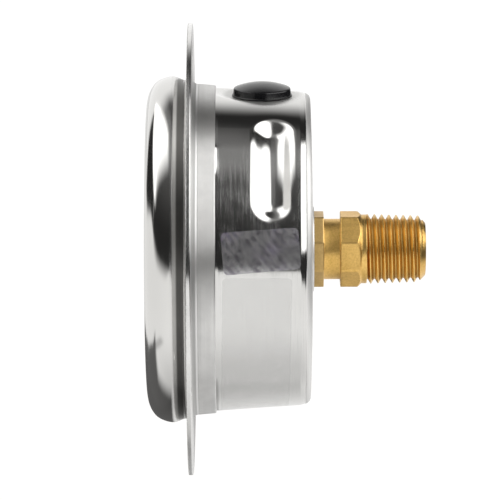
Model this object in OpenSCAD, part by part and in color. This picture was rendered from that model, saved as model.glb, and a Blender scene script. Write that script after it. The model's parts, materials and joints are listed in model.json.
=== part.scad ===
// Pressure gauge, 63 mm, centre-back entry, with a front flange.
// Everything is drawn as seen from the front: x right, y up, z towards the reader,
// with z = 0 on the back face of the flange. place() then stands it up, so that
// the dial faces -Y, the thread points to +Y and 12 o'clock is +Z.

/* [Case] */
// outer radius of the case under the flange's neck
case_r = 31.6; // [20:0.1:50]
// outer radius at the case's back edge
case_back_r = 30.5; // [20:0.1:50]
// length of the case behind the flange
case_l = 23.25; // [15:0.05:60]
// sheet thickness of the case
case_t = 0.8; // [0.5:0.1:1.5]
// outer corner radius at the back
case_corner = 1.2; // [1:0.1:4]
// radius of the hole for the socket
back_hole_r = 7.72; // [7:0.02:12]
// radius of the filling hole
fill_hole_r = 4; // [2:0.1:6]
// distance of the filling hole behind the flange
fill_y = 13.5; // [8:0.1:16]
// height of the filling plug's flat seat above the axis
fill_seat = 30.45; // [25:0.05:40]

/* [Dimple] */
// angle of each dimple above the horizontal
dimple_angle = 45; // [30:1:60]
// angle between the centres of its two round ends
dimple_span = 30; // [10:1:60]
// distance of the dimple behind the flange
dimple_y = 15.7; // [10:0.1:18]
// half width of the dimple at the case's surface
dimple_top = 4.1; // [2:0.1:5]
// half width of the dimple's floor
dimple_floor = 1.5; // [0.5:0.1:3]
// depth of the dimple
dimple_depth = 1.9; // [0.5:0.1:3]

/* [Bezel and window] */
// largest radius of the bezel
bezel_r = 33.87; // [25:0.01:55]
// distance of the bezel's front from the flange's back face
bezel_front = 9.0; // [6:0.1:15]
// sheet thickness of the bezel
bezel_t = 0.8; // [0.5:0.1:1.5]
// radial reach of the bezel's rounded front
bezel_round_r = 6.37; // [3:0.01:9]
// depth of the bezel's rounded front
bezel_round_z = 4.4; // [2:0.1:7]
// radius of the window
window_r = 32; // [20:0.1:50]
// thickness of the window
window_t = 2.95; // [1.5:0.05:5]

/* [Flange] */
// outer diameter of the flange
flange_d = 88.4; // [70:0.1:120]
// sheet thickness of the flange
flange_t = 0.9; // [0.5:0.1:2]
// length of the neck behind the flange
neck_l = 4.5; // [2:0.1:10]
// diameter of the fixing holes' circle
bolt_circle_d = 78; // [68:0.1:110]
// radius of each fixing hole
bolt_hole_r = 1.9; // [1:0.05:4]

/* [Socket] */
// size of the octagon across its flats
oct_af = 14; // [12:0.1:27]
// radius of the turned neck
groove_r = 5.925; // [4:0.005:8]
// radius of the shoulder before the thread
shoulder_r = 6.75; // [5:0.05:10]
// pitch of the pipe thread
thread_pitch = 1.4111; // [1:0.0001:2]
// outer radius of the thread at its large end
thread_big_r = 6.86; // [5:0.01:10]
// depth of the thread
thread_h = 0.95; // [0.5:0.01:1.5]
// radius of the pressure port
port_r = 2.6; // [1.5:0.1:4]

/* [Tube and movement] */
// mean radius of the tube's curve
tube_r = 21.5; // [15:0.1:26]
// angle of the tube's curve
tube_arc = 263; // [200:1:275]
// width of the tube's oval
tube_w = 7; // [4:0.1:9]
// thickness of the tube's oval
tube_th = 2.4; // [1.5:0.1:4]
// wall of the tube
tube_wall = 0.35; // [0.2:0.05:0.6]
// gear module
module_mm = 0.25; // [0.2:0.01:0.4]
// teeth of the pinion
pinion_n = 14; // [10:1:20]
// teeth of the full sector wheel
sector_n = 120; // [80:1:160]
// length of the sector's tail
tail_l = 5.5; // [4:0.1:8]
// length of the link
link_l = 8; // [6:0.1:12]

/* [Dial and pointer] */
// radius of the dial
dial_r = 29; // [18:0.1:45]
// reach of the pointer
pointer_l = 22.5; // [12:0.1:36]
// angle of the pointer at zero
zero_angle = 225; // [180:1:270]

/* [Hidden] */
$fn = 96;

// levels along the axis
z_back = -case_l;
z_in = z_back + case_t;
z_cone = -5;
lip_z0 = 2.4;
lip_z1 = 3.2;
win_z0 = 5.2;
win_z1 = win_z0 + window_t;
dial_z0 = 1.6;
dial_z1 = 2.2;
hand_z0 = 3.35;
hand_z1 = 3.85;
front_z0 = -3.4;
front_z1 = -2.4;
back_z0 = -10.4;
back_z1 = -9.4;
sec_z0 = -7;
sec_z1 = -6;
link_z0 = -7.9;
link_z1 = -7.1;
tube_z = -9;

// radius of the case's outside at level z
function case_at(z) = z > z_cone ? case_r
  : case_r - (case_r - case_back_r) * (z_cone - z) / (z_cone - z_back - case_corner);

// plan of the movement
centre_d = module_mm * (pinion_n + sector_n) / 2;
s_ang = -32;
s_pos = [centre_d * cos(s_ang), centre_d * sin(s_ang)];
tail_ang = -36.85;
b_pos = s_pos + tail_l * [cos(tail_ang), sin(tail_ang)];
link_ang = atan2(0.933, 0.36);
a_pos = b_pos + link_l * [cos(link_ang), sin(link_ang)];
pillars = [[15.5, -2], [12.15, -14.5], [-4.8, 5.2]];
plate_screws = [[2.4, -3.2], [4.4, 2]];
posts = [[-9, 8], [9, 8]];

// involute tooth, as [radius, half angle] pairs from root to tip
pressure = 20;
function inv(a) = tan(a) * 180 / PI - a;
function half_at(n, thin, r) =
  let (rp = module_mm * n / 2, rb = rp * cos(pressure), a = r <= rb ? 0 : acos(rb / r))
  90 / n - thin / (2 * rp) * 180 / PI + inv(pressure) - inv(a);
function flank_r(n, add, ded) =
  let (rp = module_mm * n / 2, rb = rp * cos(pressure), root = rp - ded, r0 = max(rb, root))
  concat(rb > root + 0.02 ? [root] : [], [for (i = [0 : 4]) r0 + (rp + add - r0) * i / 4]);
function tooth(n, add, ded, thin, at) =
  let (rr = flank_r(n, add, ded), c = len(rr))
  [for (i = [0 : 2 * c - 1])
    let (k = i < c ? i : 2 * c - 1 - i, s = i < c ? -1 : 1, t = at + s * half_at(n, thin, rr[k]))
    rr[k] * [cos(t), sin(t)]];
function teeth(n, add, ded, thin, phase, k0, k1) =
  [for (k = [k0 : k1]) for (p = tooth(n, add, ded, thin, phase + 360 * k / n)) p];

// points on the bezel's rounded front, moved in by d along the normal
function round_pt(t, d) =
  let (nx = cos(t) / bezel_round_r, nz = sin(t) / bezel_round_z, l = sqrt(nx * nx + nz * nz))
  [bezel_r - bezel_round_r + bezel_round_r * cos(t) - d * nx / l,
   bezel_front - bezel_round_z + bezel_round_z * sin(t) - d * nz / l];

module place() rotate([90, 0, 0]) children();
// a ring or tube between two levels
module ring(r0, r1, z0, z1) translate([0, 0, z0]) linear_extrude(z1 - z0) difference() { circle(r1); circle(r0); }
module rod(p, r, z0, z1) translate([p[0], p[1], z0]) cylinder(r = r, h = z1 - z0);
// a shape that stands on the case's side at the given angle, its own z pointing outwards
module side(angle, z) rotate([0, 0, angle]) translate([0, 0, z]) rotate([0, 90, 0]) children();
// a slotted screw along z, its head's top at z1
module screw(p, r, z0, z1, head_r, head_h)
  difference() {
    union() { rod(p, r, z0, z1 - head_h + 0.05); rod(p, head_r, z1 - head_h, z1); }
    translate([p[0] - head_r, p[1] - 0.15, z1 - 0.4]) cube([2 * head_r, 0.3, 1]);
  }

// ---- case ----
module dimple_solid(angle, grow) {
  r1 = case_at(-dimple_y) + 0.6;
  r0 = case_at(-dimple_y) - dimple_depth - grow;
  w1 = dimple_top + 0.6 * (dimple_top - dimple_floor) / dimple_depth + grow;
  w0 = dimple_floor + grow * 0.6;
  rotate([0, 0, angle - dimple_span / 2]) rotate_extrude(angle = dimple_span)
    translate([0, -dimple_y]) polygon([[r0, -w0], [r1, -w1], [r1, w1], [r0, w0]]);
  for (s = [-1, 1]) side(angle + s * dimple_span / 2, -dimple_y)
    translate([0, 0, r0]) cylinder(r1 = w0, r2 = w1, h = r1 - r0);
}
module case_outside() rotate_extrude() {
  polygon([[0, z_back], [case_back_r - case_corner, z_back], [case_back_r, z_back + case_corner], [case_r, z_cone], [case_r, lip_z1], [0, lip_z1]]);
  translate([case_back_r - case_corner, z_back + case_corner]) circle(case_corner);
}
module case_inside() rotate_extrude()
  polygon([[0, z_in], [case_back_r - case_corner - 0.3, z_in], [case_back_r - case_t, z_in + 0.9], [case_r - case_t, z_cone], [case_r - case_t, lip_z1 + 1], [0, lip_z1 + 1]]);
module case() color([0.78, 0.79, 0.8]) place() difference() {
  union() {
    difference() { case_outside(); case_inside(); }
    ring(case_r - 0.2, 32.95, lip_z0, lip_z1);
    ring(back_hole_r, back_hole_r + 0.55, z_back - 0.35, z_back + 0.2);
    intersection() {
      case_outside();
      union() {
        for (a = [dimple_angle, 180 - dimple_angle]) dimple_solid(a, case_t);
        side(90, -fill_y) translate([0, 0, fill_seat - case_t]) cylinder(r = 6.9, h = 4);
      }
    }
  }
  for (a = [dimple_angle, 180 - dimple_angle]) dimple_solid(a, 0);
  side(90, -fill_y) translate([0, 0, fill_seat]) cylinder(r = 6.15, h = 4);
  side(90, -fill_y) translate([0, 0, fill_seat - 4]) cylinder(r = fill_hole_r, h = 8);
  translate([0, 0, z_back - 2]) cylinder(r = back_hole_r, h = 4);
}

// ---- bezel, window ----
module bezel() color([0.86, 0.87, 0.88]) place() rotate_extrude()
  polygon(concat(
    [for (t = [0 : 7 : 98]) round_pt(t, 0)],
    [for (t = [98 : -7 : 0]) round_pt(t, bezel_t)],
    [[bezel_r - bezel_t, 3.3], [33.02, 2.35], [32.3, 2.35], [32.3, 1.2], [32.4, 1.1], [33.05, 1.1], [33.12, 1.17], [33.15, 1.75], [bezel_r, 3.45]]));
module window() color([0.85, 0.92, 0.95, 0.35]) place() rotate_extrude()
  polygon([[0, win_z0], [window_r, win_z0], [window_r, 6.2], [28.4, win_z1], [0, win_z1]]);
module window_gasket() color([0.1, 0.1, 0.1]) place() rotate_extrude()
  polygon([[29.9, lip_z1], [32.6, lip_z1], [32.7, 3.5], [32.7, 4.9], [32.5, win_z0], [29.9, win_z0]]);

// ---- flange ----
module mounting_flange() color([0.7, 0.71, 0.72]) place() difference() {
  rotate_extrude() difference() {
    union() {
      polygon([[case_r + 0.03, flange_t], [flange_d / 2 - 0.15, flange_t], [flange_d / 2, flange_t - 0.15], [flange_d / 2, 0.15], [flange_d / 2 - 0.15, 0], [33.3, 0], [32.4, -0.9], [32.1, -neck_l + 0.25], [31.85, -neck_l], [case_r + 0.03, -neck_l]]);
    }
    translate([33.38, -0.98]) circle(0.98);
  }
  for (a = [90, 210, 330]) rod(bolt_circle_d / 2 * [cos(a), sin(a)], bolt_hole_r, -1, 2);
}

// ---- filling plug and film ----
module fill_plug() color([0.07, 0.07, 0.07]) place() side(90, -fill_y) rotate_extrude()
  polygon(concat(
    [[0, fill_seat - 4.6], [3.4, fill_seat - 4.6], [3.93, fill_seat - 4], [3.93, fill_seat + 0.05],
     [5.75, fill_seat + 0.05], [5.88, fill_seat + 0.2], [5.84, fill_seat + 0.4], [5.5, fill_seat + 0.65], [5.38, fill_seat + 1.75]],
    [for (i = [0 : 8]) let (r = 5.2 * (8 - i) / 8) [r, fill_seat + 2 + 0.95 * (1 - pow(r / 5.2, 2))]]));
film_t = 0.1;
// a thin patch on the case's cone, from angle a0 to a1 and from level z0 back to z1
module patch(a0, a1, z0, z1) rotate([0, 0, a0]) rotate_extrude(angle = a1 - a0)
  polygon([[case_at(z0), z0], [case_at(z0) + film_t, z0], [case_at(z1) + film_t, z1], [case_at(z1), z1]]);
module label_film() color([0.88, 0.89, 0.9, 0.6]) place() patch(-70, 3, -5.5, -18.9);
module foil_patch() color([0.8, 0.79, 0.84]) place() patch(3.5, 20.5, -5.5, -21.9);

// ---- socket ----
oct_r = oct_af / 2 / cos(22.5);
screw_r = 1.9;
thread_l = 10.6;
thread_z1 = -33.9;
thread_z0 = thread_z1 - thread_l;
thread_turns = thread_l / thread_pitch;
// height of the thread over one turn: crest, flank, root, flank
thread_u = [0, 0.05, 0.14, 0.23, 0.32, 0.41, 0.48, 0.55, 0.64, 0.73, 0.82, 0.91];
thread_v = [1, 1, 0.75, 0.5, 0.25, 0, 0, 0, 0.28, 0.52, 0.76, 1];
thread_m = len(thread_u);
thread_n = 112;
// a right-hand thread whose radius falls by 1 in 32 along its length
module thread() polyhedron(
  points = [for (i = [0 : thread_n]) for (j = [0 : thread_m - 1])
    let (d = thread_l * i / thread_n, t = 360 * thread_u[j] - 360 * thread_turns * i / thread_n,
         r = thread_big_r - d / 32 - thread_h * (1 - thread_v[j]))
    [r * cos(t), r * sin(t), thread_z1 - d]],
  faces = concat(
    [[for (j = [0 : thread_m - 1]) thread_m - 1 - j]],
    [for (i = [0 : thread_n - 1]) for (j = [0 : thread_m - 1]) for (h = [0, 1])
      let (a = i * thread_m + j, b = i * thread_m + (j + 1) % thread_m, c = a + thread_m, d = b + thread_m)
      h == 0 ? [a, b, d] : [a, d, c]],
    [[for (j = [0 : thread_m - 1]) thread_n * thread_m + j]]));
module octagon(z0, z1) rotate([0, 0, 22.5]) translate([0, 0, z0]) cylinder(r = oct_r, h = z1 - z0, $fn = 8);
module tube_oval(w, th) {
  square([th, w - th], center = true);
  for (s = [-1, 1]) translate([0, s * (w - th) / 2]) circle(th / 2);
}
module socket() color([0.78, 0.62, 0.3]) place() difference() {
  union() {
    // inner shoulder, column, arm down to the tube, arm across for the dial's posts
    rod([0, 0], 10.5, z_in + 0.02, -19.9);
    rod([0, 0], 7.5, -20, back_z0);
    translate([-5.5, -25, -17]) cube([11, 25, 17 + back_z0]);
    translate([-5.5, -25, -17]) cube([11, 6.8, 12]);
    translate([-11.2, 5.2, -15]) cube([22.4, 5.6, 15 + back_z0]);
    // through the case's back
    octagon(-25.3, z_in + 0.5);
    rod([0, 0], groove_r, -28.9, -25.2);
    intersection() {
      octagon(-32.85, -28.75);
      translate([0, 0, -32.85]) cylinder(r1 = shoulder_r, r2 = shoulder_r + 4.1, h = 4.1);
    }
    rod([0, 0], shoulder_r, -34.1, -32.8);
    thread();
    translate([0, 0, -45.4]) cylinder(r1 = 5, r2 = 5.45, h = 1.1);
  }
  // groove for the seal
  ring(8.5, 9.9, z_in - 1, -21.2);
  // pressure port and passage to the tube
  rod([0, 0], port_r, -46, -35);
  rod([0, 0], screw_r + 0.02, -35.5, -31.5);
  rod([0, 0], 1.25, -32, -13.4);
  translate([0, 0, -14.6]) rotate([90, 0, 0]) cylinder(r = 0.9, h = 21.8);
  rod([0, -21.4], 0.9, -14.6, -9);
  // pocket for the tube's root
  rotate([0, 0, 225]) rotate_extrude(angle = 45) translate([tube_r, tube_z]) tube_oval(tube_w + 0.06, tube_th + 0.06);
  for (p = plate_screws) rod(p, 0.8, -14, back_z0 + 1);
  for (p = posts) rod(p, 0.85, -14, back_z0 + 1);
}
module socket_o_ring() color([0.08, 0.08, 0.08]) place() translate([0, 0, z_in + 0.6]) rotate_extrude() translate([9.2, 0]) circle(0.6);
module restrictor_screw() color([0.72, 0.56, 0.26]) place() difference() {
  rod([0, 0], screw_r, -35, -31.5);
  rod([0, 0], 0.25, -36, -31);
  translate([-3, -0.3, -35.5]) cube([6, 0.6, 1.3]);
}

// ---- tube ----
module bourdon_tube() color([0.74, 0.56, 0.32]) place() rotate_extrude(angle = tube_arc)
  translate([tube_r, tube_z]) difference() { tube_oval(tube_w, tube_th); tube_oval(tube_w - 2 * tube_wall, tube_th - 2 * tube_wall); }
module tube_tip() color([0.76, 0.6, 0.3]) place() difference() {
  translate([tube_r - 1.9, -7.2, tube_z - 3.9]) cube([3.8, 9.2, 7.8]);
  rotate([0, 0, -0.12]) rotate_extrude(angle = 20) translate([tube_r, tube_z]) tube_oval(tube_w + 0.1, tube_th + 0.1);
  translate([tube_r - 3, -8, link_z0 - 0.3]) cube([6, 5.4, 1.4]);
  rod(a_pos, 0.5, tube_z - 5, tube_z + 5);
}
module tip_pin() color([0.75, 0.76, 0.77]) place() { rod(a_pos, 0.49, tube_z - 3.6, tube_z + 4.2); rod(a_pos, 1, tube_z + 3.95, tube_z + 4.5); }

// ---- link and sector ----
module link() color([0.72, 0.7, 0.62]) place() difference() {
  union() {
    rod(b_pos, 1.35, link_z0, link_z1);
    rod(a_pos, 1.45, link_z0, link_z1);
    translate([b_pos[0], b_pos[1], link_z0]) rotate([0, 0, link_ang]) translate([0, -0.7, 0]) cube([link_l, 1.4, link_z1 - link_z0]);
  }
  rod(b_pos, 0.63, -9, -6);
  rod(a_pos, 0.85, -9, -6);
}
module link_pin() color([0.75, 0.76, 0.77]) place() { rod(b_pos, 0.6, -8.3, sec_z1 + 0.1); rod(b_pos, 1.1, -8.6, -8.2); }
module sector_gear() color([0.8, 0.66, 0.36]) place() difference() {
  union() {
    translate([s_pos[0], s_pos[1], sec_z0]) linear_extrude(sec_z1 - sec_z0)
      polygon(concat(teeth(sector_n, 0.16, 0.34, 0.04, s_ang + 180, -12, 2), [2.4 * [cos(160), sin(160)], 2.4 * [cos(106), sin(106)]]));
    rod(s_pos, 2.6, sec_z0, sec_z1);
    rod(b_pos, 1.6, sec_z0, sec_z1);
    translate([s_pos[0], s_pos[1], sec_z0]) rotate([0, 0, tail_ang]) translate([0, -1.4, 0]) cube([tail_l, 2.8, sec_z1 - sec_z0]);
  }
  translate([s_pos[0], s_pos[1], -8]) linear_extrude(3)
    polygon(concat([for (i = [0 : 6]) 12.4 * [cos(120 + i * 4.4), sin(120 + i * 4.4)]], [5 * [cos(139), sin(139)], 5 * [cos(127.5), sin(127.5)]]));
  rod(s_pos, 1, -8, -5);
  rod(b_pos, 0.6, -8, -5);
}
module sector_arbor() color([0.75, 0.76, 0.77]) place() {
  rod(s_pos, 0.57, -10.3, -2.5);
  rod(s_pos, 0.99, -9.2, -3.6);
  rod(s_pos, 1.7, -5.95, -5.2);
}

// ---- pinion, hairspring ----
module pinion() color([0.8, 0.68, 0.4]) place() {
  rod([0, 0], 0.57, -10.3, -9);
  rod([0, 0], 1, -9.2, -3.6);
  rod([0, 0], 0.8, -4, 4.3);
  translate([0, 0, -7.5]) linear_extrude(2)
    polygon(teeth(pinion_n, 0.25, 0.26, 0.04, s_ang + 180 / pinion_n, 0, pinion_n - 1));
}
module hairspring_collet() color([0.8, 0.68, 0.4]) place() ring(1.01, 1.6, -5, -3.9);
spring_turns = 5;
function spiral(t, d) = (1.75 + 0.66 * t / 360 + d) * [cos(t), sin(t)];
module hairspring() color([0.8, 0.6, 0.35]) place() translate([0, 0, -4.65]) linear_extrude(0.4)
  polygon(concat([for (i = [0 : 120]) spiral(i * 15, 0)], [for (i = [120 : -1 : 0]) spiral(i * 15, 0.12)]));
module hairspring_stud() color([0.8, 0.68, 0.4]) place() difference() {
  rod([5.11, 0], 0.65, -5, front_z0 + 0.6);
  translate([4, -0.4, -4.68]) cube([1.26, 1, 0.46]);
}

// ---- movement frame ----
module plate(z0, z1) difference() {
  translate([0, 0, z0]) linear_extrude(z1 - z0) hull() for (p = pillars) translate(p) circle(2.6);
  for (p = pillars) rod(p, 0.85, z0 - 1, z1 + 1);
}
module movement_back_plate() color([0.8, 0.66, 0.36]) place() difference() {
  plate(back_z0, back_z1);
  rod([0, 0], 0.6, -12, -8);
  rod(s_pos, 0.6, -12, -8);
  for (p = plate_screws) rod(p, 0.85, -12, -8);
}
module movement_front_plate() color([0.8, 0.66, 0.36]) place() difference() {
  plate(front_z0, front_z1);
  rod([0, 0], 0.83, -5, -1);
  rod(s_pos, 0.6, -5, -1);
  rod([5.11, 0], 0.66, -5, -1);
}
module movement_pillars() color([0.8, 0.66, 0.36]) place() for (p = pillars) {
  rod(p, 1.5, back_z1, front_z0);
  rod(p, 0.82, back_z0 + 0.1, back_z1 + 0.1);
}
module pillar_screws() color([0.78, 0.79, 0.8]) place() for (p = pillars) screw(p, 0.6, front_z0, front_z1 + 0.9, 1.4, 0.9);
module movement_screws() color([0.78, 0.79, 0.8]) place() for (p = plate_screws) screw(p, 0.78, -13.4, back_z1 + 0.9, 1.4, 0.9);
module dial_posts() color([0.8, 0.66, 0.36]) place() for (p = posts) difference() {
  union() { rod(p, 1.5, back_z0, dial_z0); rod(p, 0.83, -13.4, back_z0 + 0.1); }
  rod(p, 0.62, -3, 3);
}

// ---- dial, pointer ----
module dial() color([0.96, 0.96, 0.95]) place() difference() {
  rod([0, 0], dial_r, dial_z0, dial_z1);
  rod([0, 0], 2.2, 0, 4);
  for (p = posts) rod(p, 0.8, 0, 4);
  rod(13 * [cos(zero_angle + 7.4), sin(zero_angle + 7.4)], 0.5, 0, 4);
}
module dial_screws() color([0.82, 0.83, 0.84]) place() for (p = posts) screw(p, 0.6, -1.4, dial_z1 + 0.7, 1.5, 0.7);
module stop_pin() color([0.8, 0.81, 0.82]) place() rod(13 * [cos(zero_angle + 7.4), sin(zero_angle + 7.4)], 0.49, dial_z0, 4.4);
module pointer() color([0.05, 0.05, 0.05]) place() rotate([0, 0, zero_angle]) difference() {
  union() {
    translate([0, 0, hand_z0]) linear_extrude(hand_z1 - hand_z0)
      polygon([[-10, -1.3], [0, -1.25], [pointer_l - 3, -0.55], [pointer_l, -0.12], [pointer_l, 0.12], [pointer_l - 3, 0.55], [0, 1.25], [-10, 1.3]]);
    rod([0, 0], 3.1, hand_z0, hand_z1);
    rod([-10, 0], 2, hand_z0, hand_z1);
  }
  rod([0, 0], 1.5, 2, 6);
}
module pointer_hub() color([0.8, 0.68, 0.4]) place() difference() {
  union() { rod([0, 0], 1.49, 2.9, 4.4); rod([0, 0], 2.2, 2.8, hand_z0); rod([0, 0], 2, hand_z1, 4.5); }
  rod([0, 0], 0.81, 2, 4.35);
}

case();
bezel();
window();
window_gasket();
mounting_flange();
fill_plug();
label_film();
foil_patch();
socket();
socket_o_ring();
restrictor_screw();
bourdon_tube();
tube_tip();
tip_pin();
link();
link_pin();
sector_gear();
sector_arbor();
pinion();
hairspring();
hairspring_collet();
hairspring_stud();
movement_back_plate();
movement_front_plate();
movement_pillars();
pillar_screws();
movement_screws();
dial_posts();
dial();
dial_screws();
stop_pin();
pointer();
pointer_hub();
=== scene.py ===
import json
import math

import bmesh
import bpy
import numpy as np
from mathutils import Matrix, Quaternion, Vector


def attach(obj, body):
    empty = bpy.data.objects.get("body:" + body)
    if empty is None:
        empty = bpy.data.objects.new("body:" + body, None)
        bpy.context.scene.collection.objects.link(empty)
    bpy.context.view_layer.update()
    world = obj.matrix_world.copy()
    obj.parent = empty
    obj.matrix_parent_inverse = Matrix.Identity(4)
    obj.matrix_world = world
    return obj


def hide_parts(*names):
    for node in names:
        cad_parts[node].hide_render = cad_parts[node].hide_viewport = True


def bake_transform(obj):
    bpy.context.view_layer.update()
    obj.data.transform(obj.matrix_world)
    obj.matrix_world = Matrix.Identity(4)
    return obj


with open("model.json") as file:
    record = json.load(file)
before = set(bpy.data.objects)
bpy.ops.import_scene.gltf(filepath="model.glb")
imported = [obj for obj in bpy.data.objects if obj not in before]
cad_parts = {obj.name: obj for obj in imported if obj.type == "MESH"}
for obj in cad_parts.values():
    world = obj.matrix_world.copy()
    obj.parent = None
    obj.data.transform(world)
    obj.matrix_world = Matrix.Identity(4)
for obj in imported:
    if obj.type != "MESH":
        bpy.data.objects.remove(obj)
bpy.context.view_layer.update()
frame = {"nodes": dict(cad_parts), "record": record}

scene = bpy.context.scene
nodes_cad = frame["nodes"]

# ---------------------------------------------------------------------------
# Lengths below are millimetres in the dial's frame: x right, y up, z towards
# the reader, z = 0 on the flange's back face. row() turns them into the row
# frame in metres.


def row(p):
    p = np.asarray(p, float)
    return np.stack([p[..., 0], -p[..., 2], p[..., 1]], -1) * 0.001


def smooth01(x):
    x = np.clip(x, 0.0, 1.0)
    return x * x * (3 - 2 * x)


def soft_min(a, b, k):
    """The smaller of a and b, with the corner between them rounded over about k."""
    h = np.clip(0.5 + 0.5 * (b - a) / k, 0.0, 1.0)
    return b + (a - b) * h - k * h * (1 - h)


def corner(pts, closed=True, steps=5):
    """A polyline from (a, b, radius) corners, each rounded to its radius."""
    out, n = [], len(pts)
    for i in range(n):
        p = np.array(pts[i][:2], float)
        r = pts[i][2] if len(pts[i]) > 2 else 0.0
        if r <= 0 or (not closed and i in (0, n - 1)):
            out.append(tuple(p))
            continue
        a = np.array(pts[i - 1][:2], float) - p
        b = np.array(pts[(i + 1) % n][:2], float) - p
        la, lb = np.linalg.norm(a), np.linalg.norm(b)
        a, b = a / la, b / lb
        half = math.acos(max(-1.0, min(1.0, float(a @ b)))) / 2
        if half > math.radians(89.5) or half < math.radians(1):
            out.append(tuple(p))
            continue
        t = min(r / math.tan(half), 0.49 * la, 0.49 * lb)
        rr = t * math.tan(half)
        mid = (a + b) / np.linalg.norm(a + b)
        c = p + mid * (rr / math.sin(half))
        s, e = p + a * t - c, p + b * t - c
        a0 = math.atan2(s[1], s[0])
        d = math.atan2(e[1], e[0]) - a0
        d = (d + math.pi) % (2 * math.pi) - math.pi
        for k in range(steps + 1):
            q = a0 + d * k / steps
            out.append((c[0] + rr * math.cos(q), c[1] + rr * math.sin(q)))
    return out


def finish_mesh(name, verts, faces, sharp=38.0, smooth=True):
    """An object from points in the row frame (metres). Edges sharper than the limit stay crisp."""
    me = bpy.data.meshes.new(name)
    me.from_pydata([tuple(v) for v in verts], [], faces)
    bm = bmesh.new()
    bm.from_mesh(me)
    bmesh.ops.remove_doubles(bm, verts=bm.verts, dist=1e-8)
    bmesh.ops.dissolve_degenerate(bm, edges=bm.edges, dist=1e-9)
    bmesh.ops.recalc_face_normals(bm, faces=bm.faces)
    for f in bm.faces:
        f.smooth = smooth
    limit = math.radians(sharp)
    for e in bm.edges:
        if len(e.link_faces) == 2 and e.calc_face_angle(0.0) > limit:
            e.smooth = False
    bm.to_mesh(me)
    bm.free()
    ob = bpy.data.objects.new(name, me)
    scene.collection.objects.link(ob)
    return ob


def resharpen(ob, sharp=38.0):
    bm = bmesh.new()
    bm.from_mesh(ob.data)
    limit = math.radians(sharp)
    for f in bm.faces:
        f.smooth = True
    for e in bm.edges:
        e.smooth = not (len(e.link_faces) == 2 and e.calc_face_angle(0.0) > limit)
    bm.to_mesh(ob.data)
    bm.free()


def grid_faces(rows, cols, wrap_rows, offset=0):
    faces = []
    last = rows if wrap_rows else rows - 1
    for i in range(last):
        a, b = i * cols + offset, ((i + 1) % rows) * cols + offset
        for j in range(cols):
            k = (j + 1) % cols
            faces.append((a + j, a + k, b + k, b + j))
    return faces


def revolve(name, prof, cols=256, sharp=38.0, frame_at=None):
    """A closed solid of revolution. prof is a closed loop of (r, z), or a path that starts and ends on the axis.
    frame_at maps (x, y, z) millimetres to other millimetres, for a piece with an axis of its own."""
    ang = np.linspace(0, 2 * math.pi, cols, endpoint=False)
    prof = [(float(r), float(z)) for r, z in prof]
    pole0, pole1 = prof[0][0] < 1e-7, prof[-1][0] < 1e-7
    body = prof[1 if pole0 else 0: len(prof) - (1 if pole1 else 0)]
    pts = np.array([[(r * math.cos(a), r * math.sin(a), z) for a in ang] for r, z in body])
    rows = len(body)
    flat = pts.reshape(-1, 3)
    faces = grid_faces(rows, cols, not (pole0 or pole1))
    extra = []
    if pole0:
        extra.append((0, 0, prof[0][1]))
        n = rows * cols
        faces += [(n, (j + 1) % cols, j) for j in range(cols)]
    if pole1:
        n = rows * cols + len(extra)
        extra.append((0, 0, prof[-1][1]))
        b = (rows - 1) * cols
        faces += [(n, b + j, b + (j + 1) % cols) for j in range(cols)]
    if extra:
        flat = np.vstack([flat, np.array(extra, float)])
    if frame_at is not None:
        flat = frame_at(flat)
    return finish_mesh(name, row(flat), faces, sharp)


def cut(ob, cutters, sharp=38.0):
    """Takes the cutters away from ob, for good."""
    for c in cutters:
        m = ob.modifiers.new("cut", "BOOLEAN")
        m.operation, m.solver, m.object = "DIFFERENCE", "EXACT", c
    bpy.context.view_layer.update()
    dg = bpy.context.evaluated_depsgraph_get()
    me = bpy.data.meshes.new_from_object(ob.evaluated_get(dg))
    old = ob.data
    ob.modifiers.clear()
    ob.data = me
    bpy.data.meshes.remove(old)
    for c in cutters:
        d = c.data
        bpy.data.objects.remove(c)
        bpy.data.meshes.remove(d)
    resharpen(ob, sharp)
    return ob


def rod(name, p, r, z0, z1, cols=64):
    """A plain cutter along the gauge's axis."""
    return revolve(name, [(0, z0), (r, z0), (r, z1), (0, z1)], cols, frame_at=lambda q: q + np.array([p[0], p[1], 0.0]))


def join(name, obs):
    bpy.context.view_layer.update()
    bm = bmesh.new()
    for o in obs:
        t = bmesh.new()
        t.from_mesh(o.data)
        t.transform(o.matrix_world)
        tmp = bpy.data.meshes.new("tmp")
        t.to_mesh(tmp)
        t.free()
        bm.from_mesh(tmp)
        bpy.data.meshes.remove(tmp)
    me = bpy.data.meshes.new(name)
    bm.to_mesh(me)
    bm.free()
    for o in obs:
        d = o.data
        bpy.data.objects.remove(o)
        bpy.data.meshes.remove(d)
    ob = bpy.data.objects.new(name, me)
    scene.collection.objects.link(ob)
    return ob


def point_mask(ob, name, values):
    a = ob.data.attributes.new(name, "FLOAT", "POINT")
    a.data.foreach_set("value", np.asarray(values, np.float32))


def coords(ob):
    """The mesh's points, back in millimetres in the dial's frame."""
    co = np.zeros(len(ob.data.vertices) * 3, np.float32)
    ob.data.vertices.foreach_get("co", co)
    co = co.reshape(-1, 3).astype(float) * 1000
    return np.stack([co[:, 0], co[:, 2], -co[:, 1]], -1)


# ---------------------------------------------------------------------------
# materials


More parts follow.
